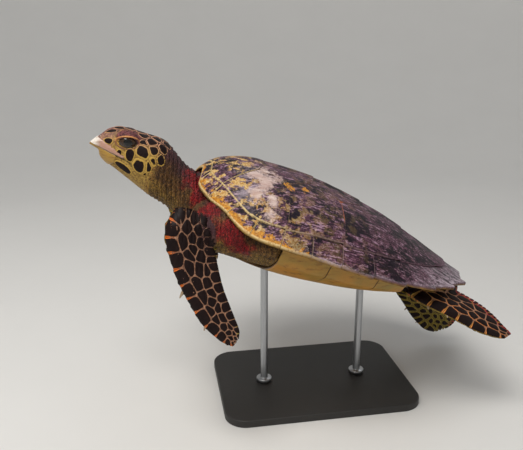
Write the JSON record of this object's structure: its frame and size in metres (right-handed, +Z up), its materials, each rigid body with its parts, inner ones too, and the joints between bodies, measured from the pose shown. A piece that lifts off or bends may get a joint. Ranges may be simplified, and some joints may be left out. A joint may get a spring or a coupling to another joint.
{
  "type": "sea turtle model",
  "caption": "Life-size still model of a young hawksbill sea turtle swimming with its head up, held over a flat base by two rods.",
  "frame": {"origin": "centre of the stand's underside, on the floor", "axes": "+Z up; the turtle faces -Y with its head raised, +X is its left side"},
  "size_m": [0.4126, 0.7491, 0.5194],
  "materials": {
    "shell": "brown keratin plates streaked with near-black and amber, satin, slightly worn",
    "rim": "keratin rim plates, amber and cream in front, mauve-brown behind, satin",
    "plastron": "yellow-amber keratin plates with dark seams, satin",
    "skin": "fine wrinkled and scaled skin, ochre to red-brown, matte",
    "scales": "brown-black scales with narrow pale seams, satin",
    "beak": "pale horn beak, smooth",
    "claw": "pale horn, smooth",
    "eye": "wet dark eye",
    "base": "black satin powder coat",
    "steel": "brushed steel rod"
  },
  "bodies": {
    "root": {"beak_lower": "beak", "beak_upper": "beak", "bridge_left": "plastron", "bridge_right": "plastron", "claw_front_left_1": "claw", "claw_front_left_2": "claw", "claw_front_right_1": "claw", "claw_front_right_2": "claw", "claw_rear_left_1": "claw", "claw_rear_left_2": "claw", "claw_rear_right_1": "claw", "claw_rear_right_2": "claw", "eye_left": "eye", "eye_right": "eye", "front_flipper_left": "scales", "front_flipper_right": "scales", "head": "skin", "jaw": "skin", "marginals_left_10_to_12": "rim", "marginals_left_1_to_3": "rim", "marginals_left_4_to_6": "rim", "marginals_left_7_to_9": "rim", "marginals_right_10_to_12": "rim", "marginals_right_1_to_3": "rim", "marginals_right_4_to_6": "rim", "marginals_right_7_to_9": "rim", "neck": "skin", "plastron_abdominal": "plastron", "plastron_anal": "plastron", "plastron_femoral": "plastron", "plastron_gular": "plastron", "plastron_humeral": "plastron", "plastron_pectoral": "plastron", "rear_flipper_left": "scales", "rear_flipper_right": "scales", "scute_costal_left_1": "shell", "scute_costal_left_2": "shell", "scute_costal_left_3": "shell", "scute_costal_left_4": "shell", "scute_costal_right_1": "shell", "scute_costal_right_2": "shell", "scute_costal_right_3": "shell", "scute_costal_right_4": "shell", "scute_nuchal": "rim", "scute_vertebral_1": "shell", "scute_vertebral_2": "shell", "scute_vertebral_3": "shell", "scute_vertebral_4": "shell", "scute_vertebral_5": "shell", "stand_base": "base", "stand_rod_front": "steel", "stand_rod_rear": "steel", "tail": "skin", "trunk": "skin"}
  },
  "joints": []
}
